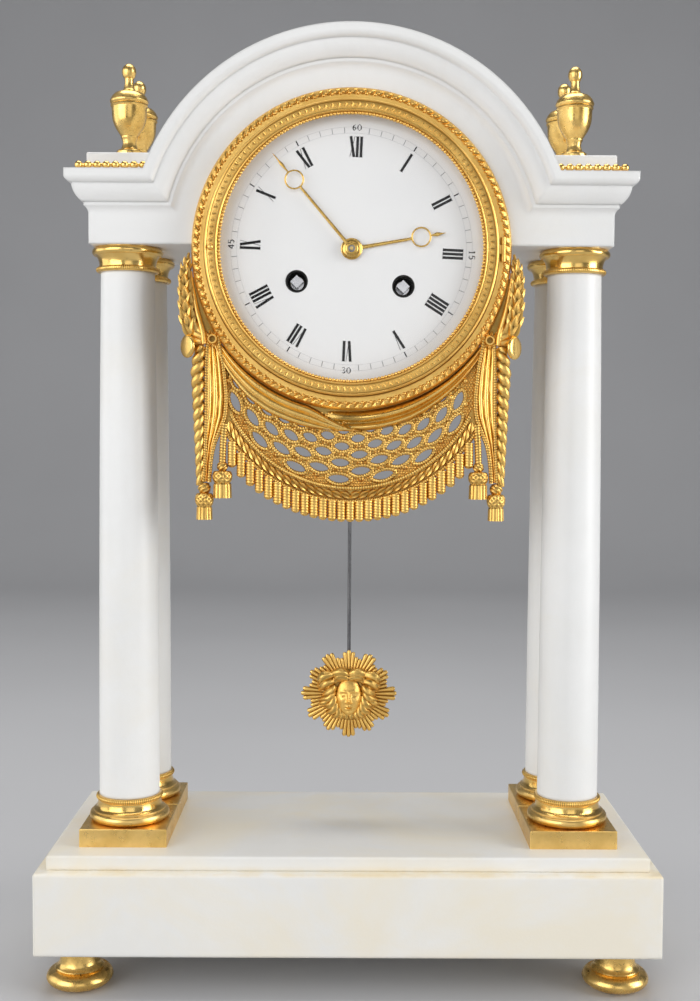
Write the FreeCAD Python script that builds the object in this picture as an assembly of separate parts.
import FreeCAD, Part
import math
import os

# White marble portico clock. Four columns on a stepped base carry an arched head that holds the dial.
# A pierced net swag hangs below the bezel and a sun-mask pendulum swings between the columns.
# Millimetres, +Z up, front towards -Y, origin on the table under the middle of the base.

V = FreeCAD.Vector
ORIGIN = V(0, 0, 0)

# Fits
seat_clear = 0.05
run_clear = 0.05
easy_clear = 0.3
end_shake = 0.2
weld = 0.5
over = 1.0

# Base
foot_height = 22.0
foot_radius = 16.9
foot_inset_x = 19.5
foot_inset_y = 20.0
foot_stud_r = 3.0
foot_stud_length = 11.0
foot_stud_room = 0.5
slab_length = 313.0
slab_depth = 130.0
slab_height = 41.5
slab_edge = 1.5
step_length = 302.0
step_depth = 118.0
step_height = 7.2
step_edge = 0.9

# Columns
column_inset = 16.5
column_y = 22.5
plinth_side = 44.6
plinth_height = 9.2
plinth_edge = 0.6
column_base_r = 20.8
column_base_height = 13.5
shaft_height = 270.2
shaft_bottom_r = 15.6
shaft_middle_r = 14.95
shaft_top_r = 13.7
capital_r = 18.1
capital_height = 12.6

# Iron tie rods through the columns
rod_r = 2.5
rod_bore_clear = 0.7
rod_hold = 14.0
nut_flats = 10.0
nut_height = 5.5
nut_recess_r = 8.0
nut_recess_depth = 7.0
rod_end = 0.8

# Arched head
head_half_width = 131.5
head_depth = 82.0
head_height = 35.5
cornice_out = 10.2
corona_height = 3.9
moulding_height = 16.7
arch_band = 29.5
dial_below_head = 2.7

# Urns on their blocks, and the bead rows
block_over = 1.5
block_tuck = 6.0
block_depth = 76.0
block_height = 10.3
block_edge = 0.8
urn_shift = 0.61
urn_y = 16.5
urn_height = 48.5
urn_r = 9.8
bead_r = 1.65
bead_pitch = 4.63
bead_inset = 3.6
bead_strip_height = 0.8

# Dial, bezel and glass: radii, and heights forward of the marble face
dial_r = 67.6
dial_lap = 2.2
dial_turn = 2.3
dial_back = 1.2
dial_edge = 2.8
dial_crown = 4.0
dial_bevel = 1.0
dial_foot_at = 46.0
dial_foot_r = 1.2
dial_hole_clear = 0.5
bezel_land = 6.0
bezel_rim = 6.4
rim_low = 1.6
rim_high = 5.0
bezel_seat = 3.6
bezel_crest = 9.4
glass_thickness = 1.4
glass_rise = 11.0
glass_gap = 0.75
glass_side_gap = 0.2
rebate_width = 1.8
door_lip = 1.45
door_gap = 0.15
door_step = 0.7
hinge_out = 1.6
hinge_height = 5.6
hinge_pin_r = 0.7
hinge_knuckle_r = 1.4
hinge_knuckle = 4.4
hinge_gap = 0.2
hinge_ear = 3.5
hinge_room = 0.4
hinge_tab = 1.3
thumb_r = 1.7
thumb_in = 3.6

# Hands
hand_thickness = 0.5
hour_hand_height = 4.9
minute_hand_height = 6.3
hour_hand_angle = 79.9
minute_hand_angle = 319.8
hour_hand_short = 17.9
minute_hand_short = 4.5
hour_tip = 13.0
minute_tip = 18.3
hand_eye_r = 4.9
hand_eye_wall = 0.9
hand_root = 0.85
hand_neck = 0.55
hand_leaf = 1.2
hand_point = 0.12
hour_boss_r = 5.4
minute_boss_r = 3.4

# Drapery below the dial
swag_drop = 51.5
border_over = 7.0
border_width = 7.0
border_relief = 2.6
border_lip = 0.6
border_rope = 1.8
net_thickness = 2.6
net_inset = 15.8
net_lap = 0.8
net_margin = 1.5
net_first_row = 4.6
net_row_pitch = 4.1
net_rows = 10
net_turn = 20.6
net_offset = -5.3
net_gap_share = 0.53
net_gap_height = 5.2
fold_width = 11.0
fold_reach = 47.5
fold_clear = 0.9
fold_relief = 4.4
fringe_pitch = 4.58
fringe_r = 2.15
fringe_length = 10.2
fringe_end = 9.0
fringe_tuck = 0.2
peg_out = 1.5
peg_rise = 4.9
peg_r = 5.2
peg_stem_r = 2.4
peg_shoulder = 1.0
peg_head = 4.8
tail_inset = 15.4
tail_width = 8.8
tail_top = 8.0
tail_length = 69.0
tail_relief = 1.4
tail_flutes = 3
tail_taper = 3.4
strand_inset = 3.0
strand_drop = 3.2
strand_r = 3.2
strand_cups = 12
strand_pitch = 5.1
garland_r = 2.8
garland_cups = 9
garland_forward = 0.5
garland_gap = 2.4
garland_top = 3.2
garland_bow = 0.2
garland_middle = 23.0
garland_tie_in = 1.1
garland_tie_rise = 7.8
outer_tassel_inset = 4.8
outer_tassel_drop = 69.9
inner_tassel_inset = 15.6
inner_tassel_drop = 59.9
inner_tassel_forward = 1.2
tassel_r = 4.4
tassel_length = 17.0
cord_r = 1.0
cord_forward = 4.4
cord_edge = 0.3
cord_top = 6.0
cord_bend = 34.0
cord_cross = 54.0
cord_cross_in = 2.6
cord_hang_in = 2.0

# Movement
motion_room = 7.0
plate_thickness = 2.5
plate_gap = 34.0
plate_r = 54.8
drum_inner_r = 55.0
drum_wall = 1.4
drum_flange = 0.8
pillar_at = 49.0
pillar_r = 2.8
barrel_x = 26.6
barrel_drop = 17.05
barrel_r = 19.0
barrel_length = 19.2
winding_r = 3.3
winding_hole_r = 5.3
winding_square = 4.6
winding_collar = 1.2
wheel_thickness = 1.6
arbor_r = 0.9
pivot_r = 0.6
arbor_proud = 2.2
cannon_r = 1.7
cannon_proud = 0.4
hour_pipe_r = 2.3
minute_hub_r = 1.6
escape_rise = 23.5
escape_r = 10.5
escape_teeth = 36
escape_tooth = 1.5
anchor_rise = 40.5
anchor_arm = ((3.0, 1.5), (11.2, -8.2), (9.6, -9.6), (8.4, -8.2), (2.2, -2.5))
crutch_back = 4.6
crutch_length = 62.0
crutch_thickness = 1.2
crutch_half = 1.4
crutch_hub_r = 2.4
fork_reach = 2.0
fork_height = 3.0
fork_clear = 0.4
cock_back = 8.0
cock_thickness = 2.2
cock_half = 14.0
cock_rise = 10.0
cock_tongue = 4.5
cock_post_at = 10.5
cock_post_r = 2.6
pin_r = 1.1
pin_length = 4.2
pin_cap = 0.8
count_r = 13.0
count_back = 1.4
count_turn = 110
notch_r = 0.6
bell_r = 29.0
bell_depth = 14.5
bell_wall = 1.5
bell_back = 16.0
bell_post_x = 28.0
bell_post_drop = 34.0
bell_post_r = 2.2
bell_arm = 2.4
bell_washer_r = 4.0
hammer_x = 44.0
hammer_drop = 14.0
hammer_hub_r = 3.5
hammer_hub = 3.0
hammer_stud_r = 1.5
hammer_back = 4.5
hammer_arm = 2.0
hammer_stem_r = 1.4
hammer_head_r = 3.0
hammer_head = 9.0
hammer_head_rise = 4.0
hammer_gap = 1.4

# Places of the wheels behind the front plate, and of the motion work before it
second_layer = 2.9
great_layer = 6.1
third_layer = 18.3
escape_layer = 23.8
centre_layer = 30.3
cannon_layer = 0.8
suspension_back = 10.1

# Tooth shape, in modules and shares of the pitch
addendum = 0.85
dedendum = 1.15
tooth_tip = 0.2
wheel_root = 0.56
pinion_root = 0.4

# Teeth and modules of the meshing pairs, wheel first
great_teeth, second_leaves, great_module = 84, 12, 0.5
second_teeth, centre_leaves, second_module = 80, 10, 0.44
centre_teeth, third_leaves, centre_module = 80, 8, 0.42
third_teeth, escape_leaves, third_module = 76, 8, 0.36
count_leaves = 14
minute_teeth, cannon_leaves, cannon_module = 36, 12, 0.5
hour_teeth, minute_leaves = 40, 10

# Pendulum
pendulum_rod_r = 0.95
pendulum_length = 275.0
rod_eye_r = 2.8
rod_eye = 3.0
rod_below = 9.0
bob_r = 24.2
bob_bundles = 14
bob_thickness = 2.2
bob_wall = 0.6
bob_boss_r = 6.0
bob_boss_back = 2.2
hair_relief = 3.4
mask_relief = 6.0

# Heights and planes that follow from the sizes above
slab_z = foot_height
step_z = slab_z + slab_height
plinth_z = step_z + step_height
column_base_z = plinth_z + plinth_height
shaft_z = column_base_z + column_base_height
capital_z = shaft_z + shaft_height
head_z = capital_z + capital_height
cornice_z = head_z + head_height
urn_z = cornice_z + block_height
dial_z = head_z - dial_below_head
face_w = head_depth / 2
swag_z = dial_z - swag_drop
peg_z = swag_z + peg_rise
rod_bore_r = rod_r + rod_bore_clear
column_x = head_half_width - column_inset
visible_r = dial_r - dial_lap
hour_hand_length = visible_r - hour_hand_short
minute_hand_length = visible_r - minute_hand_short
hour_eye_at = hour_hand_length - hour_tip
minute_eye_at = minute_hand_length - minute_tip
bezel_split_r = dial_r + bezel_land
bezel_r = bezel_split_r + bezel_rim
glass_edge = bezel_crest - door_lip - glass_gap - glass_thickness
arch_r = bezel_r + arch_band
block_half_width = head_half_width + block_over
block_inner = math.sqrt(arch_r ** 2 - (urn_z - dial_z) ** 2)
urn_x = (block_half_width + block_inner) / 2 - urn_shift
net_half_width = bezel_r - net_inset
border_r = net_half_width + border_over
peg_x = bezel_r + peg_out
tail_inner = bezel_r - tail_inset
tail_outer = tail_inner + tail_width
strand_x = bezel_r - strand_inset
outer_tassel_x = bezel_r - outer_tassel_inset
outer_tassel_z = peg_z - outer_tassel_drop
inner_tassel_x = bezel_r - inner_tassel_inset
inner_tassel_z = peg_z - inner_tassel_drop
bob_z = dial_z + anchor_rise - pendulum_length
front_w = face_w - motion_room
inner_w = front_w - plate_thickness
back_w = inner_w - plate_gap
rear_w = back_w - plate_thickness
drum_r = drum_inner_r + drum_wall
suspension_w = rear_w - suspension_back
COLUMNS = [(side * column_x, depth * column_y) for side in (-1, 1) for depth in (-1, 1)]
PLACES = ["front_left", "rear_left", "front_right", "rear_right"]
DIAL_FEET = (30, 150, 270)
PILLARS = (40, 140, 255, 285)


def outline(start, *steps):
    """Closed wire in XY. A step is (x, y) for a line or (xm, ym, x, y) for an arc through a middle point."""
    edges = []
    here = V(start[0], start[1], 0)
    for step in steps + (start,):
        there = V(step[-2], step[-1], 0)
        if len(step) == 4:
            edges.append(Part.Arc(here, V(step[0], step[1], 0), there).toShape())
        elif here.distanceToPoint(there) > 1e-6:
            edges.append(Part.makeLine(here, there))
        here = there
    return Part.Wire(edges)


def round_to(a, b):
    """Step of an outline from a to b along a sphere that is centred on the axis of revolution."""
    middle = (a[0] ** 2 + a[1] ** 2 - b[0] ** 2 - b[1] ** 2) / (2 * (a[1] - b[1]))
    radius = math.hypot(a[0], a[1] - middle)
    across = a[0] + b[0]
    along = a[1] + b[1] - 2 * middle
    scale = radius / math.hypot(across, along)
    return (across * scale, middle + along * scale, b[0], b[1])


def upright(shape):
    """Stand up a shape drawn as x right, y up, z forward, so that forward becomes -Y."""
    stood = shape.copy()
    stood.rotate(ORIGIN, V(1, 0, 0), 90)
    return stood


def scaled(radius, height, *steps):
    """Steps of a turned outline, given as shares of a radius and a height."""
    return [tuple(v * (height if i % 2 else radius) for i, v in enumerate(step)) for step in steps]


def turned(start, *steps):
    """Solid of revolution about Z from an outline of (radius, height) points."""
    return upright(Part.Face(outline(start, *steps))).revolve(ORIGIN, V(0, 0, 1), 360)


def pressed(wire, low, high):
    """Extrude a wire, or a face with gaps in it, in the front frame from one depth to another."""
    face = wire if isinstance(wire, Part.Face) else Part.Face(wire)
    solid = face.extrude(V(0, 0, high - low))
    solid.translate(V(0, 0, low))
    return solid


def rod(x, y, radius, low, high):
    """Round bar along the forward axis of the front frame."""
    return Part.makeCylinder(radius, high - low, V(x, y, low))


def moved(shape, x=0, y=0, z=0):
    placed = shape.copy()
    placed.translate(V(x, y, z))
    return placed


def mirrored(shape):
    return shape.mirror(ORIGIN, V(1, 0, 0))


def joined(shapes):
    return shapes[0].multiFuse(shapes[1:]).removeSplitter()


def eased_block(length, depth, height, edge):
    """Stone block standing on z = 0 with its upright and top edges eased."""
    block = Part.makeBox(length, depth, height, V(-length / 2, -depth / 2, 0))
    kept = [e for e in block.Edges if max(v.Z for v in e.Vertexes) > height / 2]
    return block.makeFillet(edge, kept)


def save(name, *solids):
    shape = solids[0] if len(solids) == 1 else Part.makeCompound(list(solids))
    shape.exportStep("parts/%s.step" % name)


# Base and columns

def base_slab():
    """Stone slab with stud holes for the feet and recessed holes for the tie rods."""
    stud_hole = foot_stud_length + foot_stud_room
    cuts = []
    for x, y in COLUMNS:
        cuts.append(Part.makeCylinder(rod_bore_r, slab_height, V(x, y, 0)))
        cuts.append(Part.makeCylinder(nut_recess_r, nut_recess_depth, V(x, y, 0)))
    for x, y in foot_places():
        cuts.append(Part.makeCylinder(foot_stud_r + seat_clear, stud_hole, V(x, y, 0)))
    slab = eased_block(slab_length, slab_depth, slab_height, slab_edge).cut(cuts)
    return moved(slab, z=slab_z)


def base_step():
    holes = [Part.makeCylinder(rod_bore_r, step_height, V(x, y, 0)) for x, y in COLUMNS]
    return moved(eased_block(step_length, step_depth, step_height, step_edge).cut(holes), z=step_z)


def foot_places():
    x = slab_length / 2 - foot_inset_x
    y = slab_depth / 2 - foot_inset_y
    return [(side * x, depth * y) for side in (-1, 1) for depth in (-1, 1)]


def foot():
    """Turned bun foot with a bell neck and a stud that enters the slab."""
    h = foot_height
    bun = scaled(foot_radius, h, (0, 0), (0.509, 0), (0.84, 0.11, 1, 0.365), (1, 0.41), (0.923, 0.41),
                 (0.923, 0.47), (0.9586, 0.47), (0.722, 0.635, 0.55, 0.91), (0.55, 1))
    return turned(*bun, (foot_stud_r, h), (foot_stud_r, h + foot_stud_length), (0, h + foot_stud_length))


def plinth():
    block = eased_block(plinth_side, plinth_side, plinth_height, plinth_edge)
    return block.cut(Part.makeCylinder(rod_bore_r, plinth_height))


def column_base():
    """Turned base: fillet, torus, scotia and a small astragal under the shaft."""
    mouldings = scaled(column_base_r, column_base_height, (0.913, 0), (0.913, 0.06), (1, 0.275, 0.913, 0.49),
                       (0.875, 0.49), (0.875, 0.56), (0.8125, 0.64, 0.788, 0.75), (0.8125, 0.75),
                       (0.856, 0.845, 0.8125, 0.94), (0.779, 0.94), (0.779, 1))
    return turned((rod_bore_r, 0), *mouldings, (rod_bore_r, column_base_height))


def column_shaft():
    """Marble shaft with a slight entasis and a bore for the tie rod."""
    return turned((rod_bore_r, 0), (shaft_bottom_r, 0),
                  (shaft_middle_r, shaft_height * 0.57, shaft_top_r, shaft_height),
                  (rod_bore_r, shaft_height))


def capital():
    """Turned capital: astragal, plain neck and a rounded rim."""
    mouldings = scaled(capital_r, capital_height, (0.823, 0), (0.884, 0.107, 0.823, 0.214), (0.801, 0.214),
                       (0.823, 0.5, 0.895, 0.68), (0.945, 0.68), (1, 0.82, 0.945, 0.96),
                       (0.912, 0.96), (0.912, 1))
    return turned((rod_bore_r, 0), *mouldings, (rod_bore_r, capital_height))


def tie_rods():
    """Four rods from the slab's recesses up into the head, each with a hexagon nut."""
    parts = []
    corner = nut_flats / math.sqrt(3)
    corners = [math.radians(60 * i) for i in range(6)]
    hexagon = [(corner * math.cos(a), corner * math.sin(a)) for a in corners]
    low = slab_z + nut_recess_depth - nut_height
    nut = pressed(outline(*hexagon), low, low + nut_height)
    nut = nut.cut(Part.makeCylinder(rod_r + seat_clear, nut_height, V(0, 0, low)))
    bar = head_z + rod_hold - slab_z - rod_end
    for x, y in COLUMNS:
        parts.append(Part.makeCylinder(rod_r, bar, V(x, y, slab_z + rod_end)))
        parts.append(moved(nut, x, y))
    return parts


# Head

def cornice_steps(place):
    """Moulding from the corona's lower edge inwards, as points (drop, projection) put through place."""
    o, c, m = cornice_out, corona_height, moulding_height
    shares = ((0, 1), (0.098, 0.912, 0.15, 0.696), (0.436, 0.588, 0.665, 0.294), (0.665, 0.2),
              (0.784, 0.2), (0.86, 0.07, 1, 0))
    return [sum((place(c + m * p[i], o * p[i + 1]) for i in range(0, len(p), 2)), ()) for p in shares]


def arch_head():
    """Marble head: straight cornices mitred into an arch of the same moulding, with the drum's opening."""
    w, out = head_half_width, cornice_out
    right = cornice_steps(lambda drop, proj: (w + proj, cornice_z - drop))
    left = cornice_steps(lambda drop, proj: (-w - proj, cornice_z - drop))
    left_up = [left[-1][-2:]]
    for after, before in zip(reversed(left), reversed(left[:-1])):
        left_up.append(after[:-2] + before[-2:])
    side = outline((-w, head_z), *left_up, (-w - out, cornice_z), (w + out, cornice_z), *right, (w, head_z))
    body = pressed(side, -face_w, face_w + out)
    disc = rod(0, dial_z, arch_r, -face_w, face_w + out)
    above = Part.makeBox(4 * w, 2 * arch_r, 4 * face_w, V(-2 * w, head_z, -2 * face_w))
    body = body.fuse(disc.common(above))
    beyond = face_w + out + over
    below = head_z - over
    level = cornice_steps(lambda drop, proj: (face_w + proj, cornice_z - drop))
    straight = Part.Face(outline((beyond, cornice_z - corona_height), *level, (face_w, below),
                                 (beyond, below)))
    straight = straight.extrude(V(0, 0, 4 * w))
    straight.rotate(ORIGIN, V(0, 1, 0), -90)
    straight.translate(V(2 * w, 0, 0))
    ring = cornice_steps(lambda drop, proj: (arch_r - drop, face_w + proj))
    round_cut = turned((arch_r - corona_height, beyond), *ring, (0, face_w), (0, beyond))
    round_cut.translate(V(0, dial_z, 0))
    opening = rod(0, dial_z, drum_r + easy_clear, -2 * face_w, 2 * beyond)
    head = upright(body.cut(straight).cut(round_cut).cut(opening))
    holes = [Part.makeCylinder(rod_r + seat_clear, rod_hold + over, V(x, y, head_z)) for x, y in COLUMNS]
    return head.cut(holes)


def urn_block():
    """Left block on the cornice, hollowed at its inner end to meet the arch."""
    inner = block_inner - block_tuck
    block = eased_block(block_half_width - inner, block_depth, block_height, block_edge)
    block.translate(V(-(block_half_width + inner) / 2, 0, cornice_z))
    return block.cut(upright(rod(0, dial_z, arch_r + seat_clear, -head_depth, head_depth)))


def urn():
    """Turned covered urn with a ball finial."""
    outer = scaled(urn_r, urn_height, (0, 0), (0.8, 0), (0.8, 0.025), (0.735, 0.04),
                   (0.46, 0.085, 0.398, 0.185), (0.398, 0.21), (0.46, 0.23, 0.398, 0.25), (0.375, 0.262),
                   (0.755, 0.345, 0.945, 0.552), (0.985, 0.556), (1, 0.573, 0.975, 0.59), (0.925, 0.598),
                   (1, 0.642, 0.925, 0.68), (0.66, 0.7), (0.36, 0.712), (0.262, 0.75, 0.235, 0.8),
                   (0.235, 0.86))
    return turned(*outer, round_to(outer[-1][-2:], (0, urn_height)))


def bead_row():
    """Left bead strip along the front and the outer side of the cornice top."""
    edge_x = head_half_width + cornice_out - bead_inset
    edge_w = face_w + cornice_out - bead_inset
    reach = math.sqrt(arch_r ** 2 - (cornice_z - dial_z) ** 2) + bead_r
    front_steps = round((edge_x - reach) / bead_pitch)
    front_pitch = (edge_x - reach) / front_steps
    side_count = int((edge_w + face_w - bead_inset) // bead_pitch)
    spots = [(-edge_x + i * front_pitch, -edge_w) for i in range(front_steps + 1)]
    spots += [(-edge_x, -edge_w + i * bead_pitch) for i in range(1, side_count)]
    strip_half = bead_r * 0.6
    front = Part.makeBox(front_steps * front_pitch + 2 * strip_half, 2 * strip_half, bead_strip_height,
                         V(-edge_x - strip_half, -edge_w - strip_half, cornice_z))
    side = Part.makeBox(2 * strip_half, (side_count - 1) * bead_pitch + 2 * strip_half, bead_strip_height,
                        V(-edge_x - strip_half, -edge_w - strip_half, cornice_z))
    beads = [Part.makeSphere(bead_r, V(x, y, cornice_z + bead_r + 2 * seat_clear)) for x, y in spots]
    return joined([front, side] + beads)


# Dial, bezel and hands, drawn in the front frame

def dial_spot(x, y):
    """Place on the dial, turned with it and measured from the ground."""
    turn = math.radians(dial_turn)
    return (x * math.cos(turn) + y * math.sin(turn), dial_z - x * math.sin(turn) + y * math.cos(turn))


def dial_feet():
    """Places of the pins that hold the dial on the front plate."""
    angles = [math.radians(a) for a in DIAL_FEET]
    return [dial_spot(dial_foot_at * math.cos(a), dial_foot_at * math.sin(a)) for a in angles]


def dial():
    """Enamelled disc, slightly crowned, with winding holes, a centre hole and three feet."""
    disc = turned((0, dial_back), (dial_r - dial_bevel, dial_back), (dial_r, dial_edge - dial_bevel / 2),
                  (dial_r, dial_edge), round_to((dial_r, dial_edge), (0, dial_crown)))
    disc = moved(disc, y=dial_z, z=face_w)
    feet = [rod(x, y, dial_foot_r, inner_w, face_w + dial_back + weld) for x, y in dial_feet()]
    proud = face_w + bezel_crest
    holes = [rod(0, dial_z, hour_pipe_r + dial_hole_clear, face_w, proud)]
    holes += [rod(x, y, winding_hole_r, face_w, proud) for x, y in (going_at, strike_at)]
    return upright(joined([disc] + feet).cut(holes))


def hinge_bar(radius, low, high):
    """Upright round of the bezel hinge, by its distance above and below the dial's centre."""
    x = bezel_split_r + hinge_out
    bar = Part.makeCylinder(radius, high - low, V(x, dial_z + low, face_w + hinge_height), V(0, 1, 0))
    return bar


def bezel_ring():
    """Fixed outer ring with the seat for the door, two hinge knuckles and the pin."""
    s, top = bezel_split_r, rim_high
    bore = dial_r + easy_clear
    ring = turned((bore, 0), (bezel_r, 0), (bezel_r, rim_low),
                  (s + 0.64 * bezel_rim, 0.9 * top, s + 0.156 * bezel_rim, top), (s, top), (s, bezel_seat),
                  (bore, bezel_seat))
    ring = moved(ring, y=dial_z, z=face_w)
    half = hinge_knuckle / 2 + hinge_gap
    ring = ring.cut(hinge_bar(hinge_knuckle_r + hinge_room, -half, half))
    end = half + hinge_ear
    ears = [hinge_bar(hinge_knuckle_r, half, end), hinge_bar(hinge_knuckle_r, -end, -half)]
    return upright(joined([ring, hinge_bar(hinge_pin_r, weld - end, end - weld)] + ears))


def bezel_door():
    """Hinged glazed ring: crested outer moulding, beaded lip and a rebate for the glass."""
    s, v, c = bezel_split_r - easy_clear, visible_r, bezel_crest
    rise, land = c - bezel_seat, s - v
    low, rebate, lip = bezel_seat + door_gap, v + rebate_width, c - door_lip
    ring = turned((rebate, low), (s, low), (s, c - 0.586 * rise), (s - door_step, c - 0.483 * rise),
                  (s - door_step, c - 0.38 * rise), (s - 0.33 * land, c, s - 0.61 * land, c - 0.155 * rise),
                  (v + 0.19 * land, c - 0.172 * rise),
                  (v + 0.063 * land, c - 0.034 * rise, v, c - 0.207 * rise), (v, lip), (rebate, lip))
    ring = moved(ring, y=dial_z, z=face_w)
    half = hinge_knuckle / 2
    reach = bezel_split_r + hinge_out - s + weld
    corner = V(s - weld, dial_z - half, face_w + hinge_height - easy_clear)
    tab = Part.makeBox(reach, 2 * half, hinge_tab, corner)
    door = joined([ring, hinge_bar(hinge_knuckle_r, -half, half), tab])
    thumb = Part.makeSphere(thumb_r, V(thumb_in - s, dial_z, face_w + c))
    pin_hole = hinge_bar(hinge_pin_r + run_clear, -half - over, half + over)
    return upright(joined([door.cut(pin_hole), thumb]))


def bezel_glass():
    """Convex glass held in the door's rebate."""
    r, low, top = visible_r + rebate_width - glass_side_gap, glass_edge, glass_edge + glass_rise
    t = glass_thickness
    shell = turned((0, top), round_to((0, top), (r, low)), (r, low + t), round_to((r, low + t), (0, top + t)))
    return upright(moved(shell, y=dial_z, z=face_w))


def hand(length, eye_at, boss_r, bore_r, height, angle):
    """Pierced hand: slender stem, ring eye and leaf tip on a round boss, pointing clockwise from twelve."""
    tip_start = eye_at + hand_eye_r - hand_eye_wall / 2
    leaf = tip_start + (length - tip_start) * 0.45
    neck = eye_at - hand_eye_r + hand_eye_wall / 2
    a, b, c, d = hand_root, hand_neck, hand_leaf, hand_point
    stem = outline((-a, 0), (a, 0), (b, neck), (-b, neck))
    tip = outline((-b, tip_start), (b, tip_start), (c, leaf), (d, length), (-d, length), (-c, leaf))
    low = face_w + height
    high = low + hand_thickness
    eye = rod(0, eye_at, hand_eye_r, low, high).cut(rod(0, eye_at, hand_eye_r - hand_eye_wall, low, high))
    boss = rod(0, 0, boss_r, low, high)
    blade = joined([pressed(stem, low, high), pressed(tip, low, high), eye, boss])
    blade = blade.cut(rod(0, 0, bore_r, low - over, high + over))
    blade.rotate(ORIGIN, V(0, 0, 1), -angle)
    return upright(moved(blade, y=dial_z))


# Drapery, drawn in the front frame

def swag_point(radius, degrees):
    """Point of the swag's arcs, by radius and angle from straight down."""
    a = math.radians(degrees)
    return (radius * math.sin(a), swag_z - radius * math.cos(a))


def lens(radius, degrees, length):
    """Pointed gap of the net, lying along the arc of its row."""
    half = math.degrees(length / 2 / radius)
    tip_a = swag_point(radius, degrees - half)
    tip_b = swag_point(radius, degrees + half)
    far = swag_point(radius + net_gap_height / 2, degrees)
    near = swag_point(radius - net_gap_height / 2, degrees)
    return outline(tip_a, far + tip_b, near + tip_a)


def net_swag():
    """Pierced net plate: staggered rows of pointed gaps that follow the swag, hung behind the bezel."""
    low_r = border_r + border_width / 2 - net_lap
    x = net_half_width
    y = swag_z - math.sqrt(low_r ** 2 - x ** 2)
    top = dial_z - math.sqrt((bezel_r - net_lap) ** 2 - x ** 2)
    rim = outline((-x, y), (0, swag_z - low_r, x, y), (x, top), (0, dial_z - bezel_split_r, -x, top))
    columns = int(90 // net_turn) + 1
    gaps = []
    for row in range(net_rows):
        radius = border_r - border_width / 2 - net_first_row - row * net_row_pitch
        length = net_gap_share * math.radians(net_turn) * radius
        for column in range(-columns, columns + 1):
            angle = (column + 0.5 * (row % 2)) * net_turn + net_offset
            cx, cy = swag_point(radius, angle)
            clear = math.hypot(cx, cy - dial_z) - bezel_r
            along = abs(math.cos(math.radians(angle)))
            inside = abs(cx) + along * length / 2 < x - net_margin
            if abs(angle) < 90 and clear > net_gap_height * 0.9 and inside:
                gaps.append(lens(radius, angle, length))
    face = Part.Face([rim] + gaps)
    face.validate()
    return upright(pressed(face, face_w - net_thickness, face_w))


def fringe_border():
    """Moulded border of two ropes and a raised band, with a fringe of bullions along its lower edge."""
    a, b = border_r - border_width / 2, border_r + border_width / 2
    h = border_relief
    low, rim, rope = h * 0.6, b + border_lip, border_rope
    band = outline((a, 0), (rim, 0), (rim, low), ((rim + b - rope) / 2, h, b - rope, low),
                   (border_r, h, a + rope, low), (a + rope / 2, h * 0.9, a, low))
    end = math.degrees(math.asin((net_half_width - net_margin) / rim))
    section = upright(Part.Face(band))
    section.rotate(ORIGIN, V(0, 0, 1), -90 - end)
    sweep = section.revolve(ORIGIN, V(0, 0, 1), 2 * end)
    parts = [moved(sweep, y=swag_z, z=face_w)]
    root = b - fringe_tuck
    half_count = int((net_half_width - fringe_end) // fringe_pitch)
    for i in range(-half_count, half_count + 1):
        x = i * fringe_pitch
        sag = math.sqrt(root ** 2 - x ** 2)
        near = max(abs(x) - fringe_r, 0)
        straight = fringe_length + math.sqrt(root ** 2 - near ** 2) - sag - fringe_r
        bar = turned((0, 0), (fringe_r, 0), (fringe_r, straight),
                     round_to((fringe_r, straight), (0, straight + fringe_r)))
        bar.rotate(ORIGIN, V(1, 0, 0), 90)
        bar.translate(V(x, swag_z - sag, face_w + fringe_r + seat_clear))
        parts.append(bar)
    return upright(joined(parts))


def swag_fold():
    """Cloth fold along the bezel's lower edge, a loft of double-ridged sections that widen to the middle."""
    inner = bezel_r + fold_clear
    sections = []
    for i in range(-4, 5):
        share = i / 4
        angle = share * fold_reach
        width = fold_width * (1 - 0.42 * share * share)
        relief = fold_relief * (1 - 0.35 * share * share)
        mid = inner + width * 0.52
        wire = outline((inner, 0), (inner + width, 0), (inner + width * 0.78, relief, mid, relief * 0.45),
                       (inner + width * 0.26, relief * 0.9, inner, relief * 0.3))
        wire = upright(wire)
        wire.rotate(ORIGIN, V(0, 0, 1), -90 + angle)
        sections.append(moved(wire, y=dial_z, z=face_w))
    return upright(Part.makeLoft(sections, True, True))


def drape_tail():
    """Left hanging tail of gathered cloth: upright flutes, drawn in at its foot, behind the bezel."""
    top = peg_z + tail_top
    low = top - tail_length
    back = net_thickness - face_w
    front = -face_w - easy_clear
    step = (tail_outer - tail_inner) / tail_flutes
    flutes = []
    for i in range(tail_flutes):
        x = -tail_inner - i * step
        flutes.append((x - step / 2, front - tail_relief, x - step, front))
    edge = outline((-tail_inner, front), *flutes, (-tail_outer, back), (-tail_inner, back))
    cloth = pressed(edge, low, top)
    taper = outline((-tail_inner, peg_z), (-tail_inner - tail_taper, low), (0, low), (0, peg_z))
    drawn_in = upright(pressed(taper, 0, 2 * face_w))
    behind_bezel = upright(rod(0, dial_z, bezel_r + easy_clear, face_w, 2 * face_w))
    return cloth.cut([drawn_in, behind_bezel])


def cup_strand():
    """Left leaf strand that hangs from the peg: cups one inside the next."""
    top = peg_z - strand_drop
    steps = []
    for i in range(strand_cups):
        z = top - i * strand_pitch
        steps.append((strand_r * 0.55, z))
        steps.append((strand_r * 0.9, z - strand_pitch * 0.45, strand_r, z - strand_pitch * 0.92))
    low = top - strand_cups * strand_pitch
    return moved(turned((0, top), *steps, (strand_r * 0.5, low), (0, low)), -strand_x, -face_w)


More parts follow.
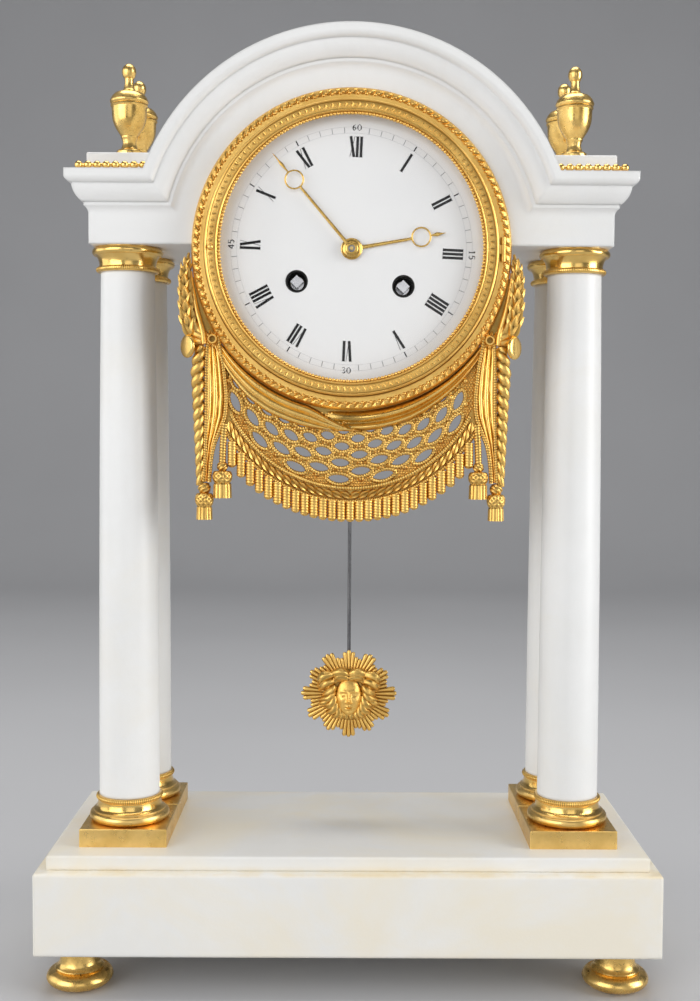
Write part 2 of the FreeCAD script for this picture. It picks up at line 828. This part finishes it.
def garland():
    """Left leaf garland that runs up beside the bezel, cups along a bowed path."""
    first = V(-bezel_r - garland_gap, -garland_top, 0)
    middle = V(-bezel_r - garland_gap - garland_bow, -garland_middle, 0)
    last = V(garland_tie_in - peg_x, peg_z + garland_tie_rise - dial_z, 0)
    path = Part.Arc(first, middle, last)
    cups = []
    for i in range(garland_cups):
        share = i / (garland_cups - 1)
        at = path.parameter(first) + share * (path.parameter(last) - path.parameter(first)) * 0.92
        size = garland_r * (0.5 + 0.5 * math.sin(math.pi * min(share + 0.12, 0.75)))
        length = path.length() / garland_cups * 1.25
        spot = path.value(at)
        cups.append(Part.makeCone(size * 0.5, size, length, spot, path.tangent(at)[0]))
    return upright(moved(joined(cups), y=dial_z, z=face_w + garland_forward))


def curtain_peg():
    """Left knob that the drapery hangs from, on a stem against the tail."""
    base = peg_x - tail_outer - peg_shoulder
    rim = (peg_r * 0.8, base + 0.75 * peg_head)
    knob = turned((0, 0), (peg_stem_r, 0), (peg_stem_r, base), (peg_r * 0.7, base),
                  (peg_r, base + 0.375 * peg_head) + rim, round_to(rim, (0, base + peg_head)))
    knob.rotate(ORIGIN, V(0, 1, 0), -90)
    return moved(knob, -tail_outer, -face_w, peg_z)


def tassel():
    """Turned tassel hanging from z = 0: knot, bulb and flared skirt."""
    r, h = tassel_r, tassel_length
    return turned((0, 0), (r * 0.35, 0), (r * 0.62, -h * 0.07, r * 0.35, -h * 0.14),
                  (r * 0.95, -h * 0.3, r * 0.5, -h * 0.47), (r * 0.62, -h * 0.5), (r * 0.85, -h * 0.7, r, -h),
                  (0, -h))


def tassel_cords():
    """Left pair of tassels with the cords that they hang from."""
    w = face_w + cord_forward
    outer = moved(tassel(), -outer_tassel_x, -face_w, outer_tassel_z)
    edge = tail_inner + cord_edge
    points = [V(-edge, -w, peg_z - cord_top), V(-edge, -w, peg_z - cord_bend),
              V(cord_cross_in - tail_outer, -w, peg_z - cord_cross),
              V(-outer_tassel_x, -w, outer_tassel_z + cord_r),
              V(-outer_tassel_x, -face_w, outer_tassel_z - cord_r)]
    bars = []
    for a, b in zip(points, points[1:]):
        bars.append(Part.makeCylinder(cord_r, a.distanceToPoint(b), a, b - a))
        bars.append(Part.makeSphere(cord_r, b))
    y = -face_w - inner_tassel_forward
    inner = moved(tassel(), -inner_tassel_x, y, inner_tassel_z)
    reach = net_half_width - cord_hang_in
    top = swag_z - math.sqrt((border_r - border_width / 2) ** 2 - reach ** 2) - cord_hang_in
    low = inner_tassel_z - cord_r
    hang = Part.makeCylinder(cord_r, top - low, V(-inner_tassel_x, y, low))
    return [joined([outer] + bars), joined([inner, hang])]


# Movement, drawn in the front frame

def gear(teeth, module, x, y, phase, low, root=wheel_root):
    """Straight-flanked gear; the first tooth points at the phase angle and root is its share of the pitch."""
    low_r = (teeth / 2 - dedendum) * module
    top_r = (teeth / 2 + addendum) * module
    pitch = 2 * math.pi / teeth
    points = []
    for i in range(teeth):
        at = math.radians(phase) + i * pitch
        for radius, share in ((low_r, -root), (top_r, -tooth_tip), (top_r, tooth_tip), (low_r, root)):
            a = at + share * pitch / 2
            points.append((x + radius * math.cos(a), y + radius * math.sin(a)))
    return pressed(outline(*points), low, low + wheel_thickness)


def mesh(wheel_at, pinion_at, pinion_leaves):
    """Phases of a wheel and a pinion, so that a tooth stands in a gap on the line between them."""
    angle = math.degrees(math.atan2(pinion_at[1] - wheel_at[1], pinion_at[0] - wheel_at[0]))
    return angle, angle + 180 + 180 / pinion_leaves


def meeting(a, a_r, b, b_r, side):
    """Place at the given distances from two others, to the left (1) or right (-1) of the line from a to b."""
    dx, dy = b[0] - a[0], b[1] - a[1]
    d = math.hypot(dx, dy)
    along = (a_r ** 2 - b_r ** 2 + d ** 2) / (2 * d)
    off = side * math.sqrt(a_r ** 2 - along ** 2)
    return (a[0] + (along * dx - off * dy) / d, a[1] + (along * dy + off * dx) / d)


centre_at = (0, dial_z)
going_at = dial_spot(barrel_x, -barrel_drop)
strike_at = dial_spot(-barrel_x, -barrel_drop)
escape_at = (0, dial_z + escape_rise)
anchor_at = (0, dial_z + anchor_rise)
second_at = meeting(centre_at, (second_teeth + centre_leaves) * second_module / 2,
                    going_at, (great_teeth + second_leaves) * great_module / 2, 1)
third_at = meeting(centre_at, (centre_teeth + third_leaves) * centre_module / 2,
                   escape_at, (third_teeth + escape_leaves) * third_module / 2, 1)
motion_gap = (minute_teeth + cannon_leaves) * cannon_module / 2
minute_at = (0, dial_z + motion_gap)
hour_module = 2 * motion_gap / (hour_teeth + minute_leaves)
count_gap = (great_teeth + count_leaves) * great_module / 2
count_at = (strike_at[0] + count_gap * math.cos(math.radians(count_turn)),
            strike_at[1] + count_gap * math.sin(math.radians(count_turn)))
great_low = inner_w - great_layer
second_low = inner_w - second_layer
barrel_low = great_low - barrel_length
third_low = inner_w - third_layer
escape_low = inner_w - escape_layer
centre_low = inner_w - centre_layer
cannon_low = front_w + cannon_layer
hour_low = cannon_low + wheel_thickness + easy_clear
crutch_w = rear_w - crutch_back
cock_w = rear_w - cock_back
bell_w = rear_w - bell_back
hammer_at = (hammer_x, dial_z - hammer_drop)
hammer_w = rear_w - hammer_back
bar_low, bar_high = back_w + end_shake, inner_w - end_shake
pivot_low, pivot_high = rear_w + end_shake, front_w - end_shake


def arbor(at):
    """Wheel arbor between the plates, with a thinner pivot in each."""
    return rod(*at, arbor_r, bar_low, bar_high).fuse(rod(*at, pivot_r, pivot_low, pivot_high))


def barrel(at, pinion_at, pinion_leaves):
    """Spring barrel with its great wheel, bored for the winding arbor."""
    teeth = gear(great_teeth, great_module, *at, mesh(at, pinion_at, pinion_leaves)[0], great_low)
    drum = rod(*at, barrel_r, barrel_low, great_low + weld)
    bore = rod(*at, winding_r + run_clear, barrel_low - over, great_low + wheel_thickness + over)
    return upright(joined([drum, teeth]).cut(bore))


def winding_arbor(at):
    """Winding arbor through barrel and plates, ending in a square for the key."""
    x, y = at
    h = winding_square / math.sqrt(2)
    square = outline((x - h, y), (x, y - h), (x + h, y), (x, y + h))
    tip = pressed(square, front_w + weld, face_w + dial_edge)
    collar_r = winding_r + winding_collar
    collars = [rod(x, y, collar_r, great_low + wheel_thickness + easy_clear, inner_w - easy_clear),
               rod(x, y, collar_r, back_w + easy_clear, barrel_low - easy_clear)]
    return upright(joined([rod(x, y, winding_r, rear_w, front_w + over), tip] + collars))


def wheel(at, wheel_gear, pinion_gear):
    return upright(joined([arbor(at), wheel_gear, pinion_gear]))


def second_wheel():
    turn = mesh(second_at, centre_at, centre_leaves)[0]
    teeth = gear(second_teeth, second_module, *second_at, turn, second_low)
    turn = mesh(going_at, second_at, second_leaves)[1]
    leaves = gear(second_leaves, great_module, *second_at, turn, great_low, pinion_root)
    return wheel(second_at, teeth, leaves)


def centre_wheel():
    """Centre wheel and pinion on the long arbor that carries the motion work."""
    turn = mesh(centre_at, third_at, third_leaves)[0]
    teeth = gear(centre_teeth, centre_module, *centre_at, turn, centre_low)
    turn = mesh(second_at, centre_at, centre_leaves)[1]
    leaves = gear(centre_leaves, second_module, *centre_at, turn, second_low, pinion_root)
    bar = rod(*centre_at, arbor_r, bar_low, face_w + minute_hand_height + arbor_proud)
    tail = rod(*centre_at, pivot_r, pivot_low, bar_low + weld)
    return upright(joined([bar, tail, teeth, leaves]))


def third_wheel():
    turn = mesh(third_at, escape_at, escape_leaves)[0]
    teeth = gear(third_teeth, third_module, *third_at, turn, third_low)
    turn = mesh(centre_at, third_at, third_leaves)[1]
    leaves = gear(third_leaves, centre_module, *third_at, turn, centre_low, pinion_root)
    return wheel(third_at, teeth, leaves)


def escape_wheel():
    """Escape wheel with raked teeth and its pinion."""
    points = []
    for i in range(escape_teeth):
        at = 2 * math.pi * i / escape_teeth
        back = at + 1.25 * math.pi / escape_teeth
        low_r = escape_r - escape_tooth
        points.append((escape_r * math.sin(at), escape_at[1] + escape_r * math.cos(at)))
        points.append((low_r * math.sin(back), escape_at[1] + low_r * math.cos(back)))
    crown = pressed(outline(*points), escape_low, escape_low + wheel_thickness)
    turn = mesh(third_at, escape_at, escape_leaves)[1]
    leaves = gear(escape_leaves, third_module, *escape_at, turn, third_low, pinion_root)
    return wheel(escape_at, crown, leaves)


def count_wheel():
    """Count wheel behind the back plate on the arbor that the strike barrel drives."""
    x, y = count_at
    turn = mesh(strike_at, count_at, count_leaves)[1]
    leaves = gear(count_leaves, great_module, x, y, turn, great_low, pinion_root)
    high = rear_w - count_back
    low = high - wheel_thickness
    notches = []
    struck = 0
    for hour in range(1, 13):
        at = math.radians(360 * struck / 90)
        spot = (x + count_r * math.cos(at), y + count_r * math.sin(at))
        notches.append(rod(*spot, notch_r, low - over, high + over))
        struck += hour + 1
    disc = rod(x, y, count_r, low, high).cut(notches)
    bar = rod(x, y, arbor_r, low - over, bar_high)
    return upright(joined([disc, bar, rod(x, y, pivot_r, bar_high - weld, pivot_high), leaves]))


def anchor():
    """Anchor, its arbor and the crutch with a fork around the pendulum rod."""
    x, y = anchor_at
    right = [(ax, y + ay) for ax, ay in anchor_arm]
    left = [(-ax, ay) for ax, ay in reversed(right)]
    low = y - crutch_length
    t = crutch_thickness
    gap = pendulum_rod_r + fork_clear
    end = suspension_w - fork_reach
    bar = outline((-crutch_half, y), (crutch_half, y), (t, low), (-t, low))
    bridge = Part.makeBox(2 * (gap + t), fork_height, t, V(-gap - t, low, crutch_w))
    fork = [Part.makeBox(t, fork_height, crutch_w + t - end, V(fx, low, end)) for fx in (-gap - t, gap)]
    parts = [pressed(outline(*right, *left), escape_low, escape_low + wheel_thickness),
             rod(x, y, arbor_r, cock_w + cock_thickness - weld, bar_high),
             rod(x, y, pivot_r, bar_high - weld, pivot_high), rod(x, y, crutch_hub_r, crutch_w, crutch_w + t),
             pressed(bar, crutch_w, crutch_w + t), bridge]
    return upright(joined(parts + fork))


def suspension_cock():
    """Cock on the back plate that holds the anchor's rear pivot and the pin that the pendulum hangs on."""
    x, y = anchor_at
    low, t = cock_w, cock_thickness
    shoulder = y + cock_rise * 0.35
    neck = cock_half * 0.29
    plate = outline((-cock_half, y + cock_rise), (cock_half, y + cock_rise), (cock_half, shoulder),
                    (neck, y - cock_tongue), (-neck, y - cock_tongue), (-cock_half, shoulder))
    post_y = y + cock_rise * 0.65
    posts = [rod(px, post_y, cock_post_r, low + weld, rear_w) for px in (-cock_post_at, cock_post_at)]
    cock = joined([pressed(plate, low, low + t)] + posts)
    cock = cock.cut(rod(x, y, arbor_r + run_clear, low + t - 2 * weld, rear_w))
    end = low - pin_length
    pin = [rod(x, y, pin_r, end, low + weld), rod(x, y, 2 * pin_r, end - pin_cap, end)]
    return upright(joined([cock] + pin))


def pendulum_rod():
    """Steel rod that hangs from the suspension pin by a drilled eye."""
    x, y = anchor_at
    eye = rod(x, y, rod_eye_r, suspension_w - rod_eye / 2, suspension_w + rod_eye / 2)
    low = bob_z - rod_below
    length = y - rod_eye_r + weld - low
    bar = Part.makeCylinder(pendulum_rod_r, length, V(0, low, suspension_w), V(0, 1, 0))
    hole = rod(x, y, pin_r + run_clear, suspension_w - rod_eye, suspension_w + rod_eye)
    return upright(joined([eye, bar]).cut(hole))


def pendulum_bob():
    """Sun disc with raised mask and hair ring, and a boss behind that takes the rod."""
    points = []
    ray_steps = ((0, 0.74), (0.1, 0.86), (0.32, 0.88), (0.36, 1.0), (0.64, 1.0), (0.68, 0.88), (0.9, 0.86))
    for bundle in range(bob_bundles):
        for share, length in ray_steps:
            at = 2 * math.pi * (bundle + share - 0.5) / bob_bundles
            points.append((bob_r * length * math.sin(at), bob_z + bob_r * length * math.cos(at)))
    low = suspension_w + pendulum_rod_r + bob_wall
    disc = pressed(outline(*points), low, low + bob_thickness)
    top, r = bob_thickness, bob_r
    hair = (r * 0.41, top + hair_relief * 0.47)
    mask = turned((0, 0), (r * 0.66, 0), (r * 0.64, top + hair_relief * 0.18),
                  (r * 0.53, top + hair_relief) + hair, round_to(hair, (0, top + mask_relief)))
    boss = rod(0, bob_z, bob_boss_r, suspension_w - bob_boss_back, low + weld)
    bob = joined([disc, moved(mask, y=bob_z, z=low), boss])
    foot = V(0, bob_z - rod_below - seat_clear, suspension_w)
    return upright(bob.cut(Part.makeCylinder(pendulum_rod_r + seat_clear, 2 * bob_r, foot, V(0, 1, 0))))


def bell_cup():
    """Cup bell behind the movement, open towards the back plate."""
    r, d, t = bell_r, bell_depth, bell_wall
    flat = r * 0.17
    cup = turned((r - t, 0), (r, 0), round_to((r, 0), (flat, -d)), (0, -d), (0, -d + t), (flat, -d + t),
                 round_to((flat, -d + t), (r - t, 0)))
    return upright(moved(cup, y=dial_z, z=bell_w))


def bell_stand():
    """Post and arm that carry the bell from the back plate."""
    x, y = -bell_post_x, dial_z - bell_post_drop
    a = bell_arm
    crown = bell_w - bell_depth
    low = crown - over - a
    arm = outline((x - a, y + a), (x + a, y - a), (a, dial_z - a), (a, dial_z + a), (-a, dial_z + a))
    parts = [rod(x, y, bell_post_r, low, rear_w), pressed(arm, low, low + a)]
    return upright(joined(parts + [rod(0, dial_z, bell_washer_r, low + a - weld, crown)]))


def hammer():
    """Bell hammer: hub on the back plate's stud, arm, stem and head."""
    x, y = hammer_at
    hx, hy = bell_r + hammer_gap + hammer_head_r, dial_z + hammer_head_rise
    low, a, b = hammer_w, hammer_hub_r * 0.7, hammer_stem_r
    arm = outline((x - a, y - over), (x + a, y + over), (hx + b, hy + over), (hx - b, hy - over))
    head = bell_w - over - hammer_head
    parts = [rod(x, y, hammer_hub_r, low, low + hammer_hub), pressed(arm, low, low + hammer_arm),
             rod(hx, hy, b, head + weld, low + hammer_arm),
             rod(hx, hy, hammer_head_r, head, head + hammer_head)]
    hole = rod(x, y, hammer_stud_r + run_clear, low - over, low + hammer_hub + over)
    return upright(joined(parts).cut(hole))


def movement_drum():
    """Drum with a front flange that lies on the marble behind the dial."""
    top = face_w + drum_flange
    shell = rod(*centre_at, drum_r, rear_w, top)
    flange = rod(*centre_at, dial_r, face_w, top)
    return upright(joined([shell, flange]).cut(rod(*centre_at, drum_inner_r, rear_w - over, top + over)))


def bored(plate, low, high, bores):
    """Plate with the wheels' pivot holes and further bores, given as pairs of a place and a radius."""
    bores = bores + [(at, pivot_r) for at in (second_at, third_at, escape_at)]
    bores += [(at, winding_r) for at in (going_at, strike_at)]
    return plate.cut([rod(*at, radius + run_clear, low - over, high + over) for at, radius in bores])


def front_plate():
    """Front plate with its pillars, dial feet holes and the minute wheel's stud."""
    bores = [(centre_at, arbor_r), (anchor_at, pivot_r), (count_at, pivot_r)]
    bores += [(at, dial_foot_r) for at in dial_feet()]
    plate = bored(rod(*centre_at, plate_r, inner_w, front_w), inner_w, front_w, bores)
    stud = rod(*minute_at, arbor_r, front_w - weld, hour_low + wheel_thickness + weld)
    pillars = []
    for angle in PILLARS:
        x = pillar_at * math.cos(math.radians(angle))
        y = dial_z + pillar_at * math.sin(math.radians(angle))
        pillars.append(upright(rod(x, y, pillar_r, back_w, inner_w)))
    return [upright(joined([plate, stud]))] + pillars


def back_plate():
    """Back plate with pivot holes and the hammer's stud."""
    bores = [(centre_at, pivot_r), (anchor_at, arbor_r + over), (count_at, arbor_r)]
    plate = bored(rod(*centre_at, plate_r, rear_w, back_w), rear_w, back_w, bores)
    end = hammer_w - weld
    stud = rod(*hammer_at, hammer_stud_r, end, rear_w + weld)
    cap = rod(*hammer_at, hammer_stud_r * 1.6, end - over, end + end_shake)
    return upright(joined([plate, stud, cap]))


def cannon_pinion():
    """Tube on the centre arbor with the pinion that drives the minute wheel."""
    top = face_w + minute_hand_height + hand_thickness + cannon_proud
    turn = mesh(minute_at, centre_at, cannon_leaves)[1]
    leaves = gear(cannon_leaves, cannon_module, *centre_at, turn, cannon_low, pinion_root)
    tube = rod(*centre_at, cannon_r, cannon_low, top)
    return upright(joined([tube, leaves]).cut(rod(*centre_at, arbor_r + run_clear, front_w, top + over)))


def minute_wheel():
    """Minute wheel and pinion on the front plate's stud."""
    turn = mesh(minute_at, centre_at, cannon_leaves)[0]
    teeth = gear(minute_teeth, cannon_module, *minute_at, turn, cannon_low)
    turn = mesh(centre_at, minute_at, minute_leaves)[1]
    leaves = gear(minute_leaves, hour_module, *minute_at, turn, hour_low, pinion_root)
    wheels = joined([teeth, rod(*minute_at, minute_hub_r, cannon_low, hour_low + weld), leaves])
    return upright(wheels.cut(rod(*minute_at, arbor_r + run_clear, front_w, face_w)))


def hour_wheel():
    """Hour wheel on its pipe, which turns around the cannon tube and carries the hour hand."""
    top = face_w + hour_hand_height + hand_thickness + end_shake
    turn = mesh(centre_at, minute_at, minute_leaves)[0]
    teeth = gear(hour_teeth, hour_module, *centre_at, turn, hour_low)
    pipe = rod(*centre_at, hour_pipe_r, hour_low, top)
    return upright(joined([teeth, pipe]).cut(rod(*centre_at, cannon_r + run_clear, front_w, top + over)))


os.makedirs("parts", exist_ok=True)

save("base_slab", base_slab())
save("base_step", base_step())
save("feet", *[moved(foot(), x, y) for x, y in foot_places()])
save("column_plinths", *[moved(plinth(), x, y, plinth_z) for x, y in COLUMNS])
for place, (cx, cy) in zip(PLACES, COLUMNS):
    save("column_base_" + place, moved(column_base(), cx, cy, column_base_z))
    save("column_shaft_" + place, moved(column_shaft(), cx, cy, shaft_z))
    save("column_capital_" + place, moved(capital(), cx, cy, capital_z))
    save("urn_" + place, moved(urn(), math.copysign(urn_x, cx), math.copysign(urn_y, cy), urn_z))
save("tie_rods", *tie_rods())
save("arch_head", arch_head())
save("urn_blocks", urn_block(), mirrored(urn_block()))
save("bead_rows", bead_row(), mirrored(bead_row()))

save("dial", dial())
save("bezel_ring", bezel_ring())
save("bezel_door", bezel_door())
save("bezel_glass", bezel_glass())
save("hour_hand", hand(hour_hand_length, hour_eye_at, hour_boss_r, hour_pipe_r + seat_clear,
                       hour_hand_height, hour_hand_angle))
save("minute_hand", hand(minute_hand_length, minute_eye_at, minute_boss_r, cannon_r + seat_clear,
                         minute_hand_height, minute_hand_angle))

save("net_swag", net_swag())
save("fringe_border", fringe_border())
save("swag_fold", swag_fold())
save("drape_tail_left", drape_tail())
save("drape_tail_right", mirrored(drape_tail()))
save("garland_left", garland(), cup_strand())
save("garland_right", mirrored(garland()), mirrored(cup_strand()))
save("curtain_pegs", curtain_peg(), mirrored(curtain_peg()))
save("tassels", *tassel_cords(), *[mirrored(t) for t in tassel_cords()])

save("movement_drum", movement_drum())
save("front_plate", *front_plate())
save("back_plate", back_plate())
save("going_barrel", barrel(going_at, second_at, second_leaves))
save("strike_barrel", barrel(strike_at, count_at, count_leaves))
save("going_arbor", winding_arbor(going_at))
save("strike_arbor", winding_arbor(strike_at))
save("second_wheel", second_wheel())
save("centre_wheel", centre_wheel())
save("third_wheel", third_wheel())
save("escape_wheel", escape_wheel())
save("count_wheel", count_wheel())
save("cannon_pinion", cannon_pinion())
save("minute_wheel", minute_wheel())
save("hour_wheel", hour_wheel())
save("anchor", anchor())
save("suspension_cock", suspension_cock())
save("pendulum_rod", pendulum_rod())
save("pendulum_bob", pendulum_bob())
save("bell", bell_cup(), bell_stand())
save("hammer", hammer())
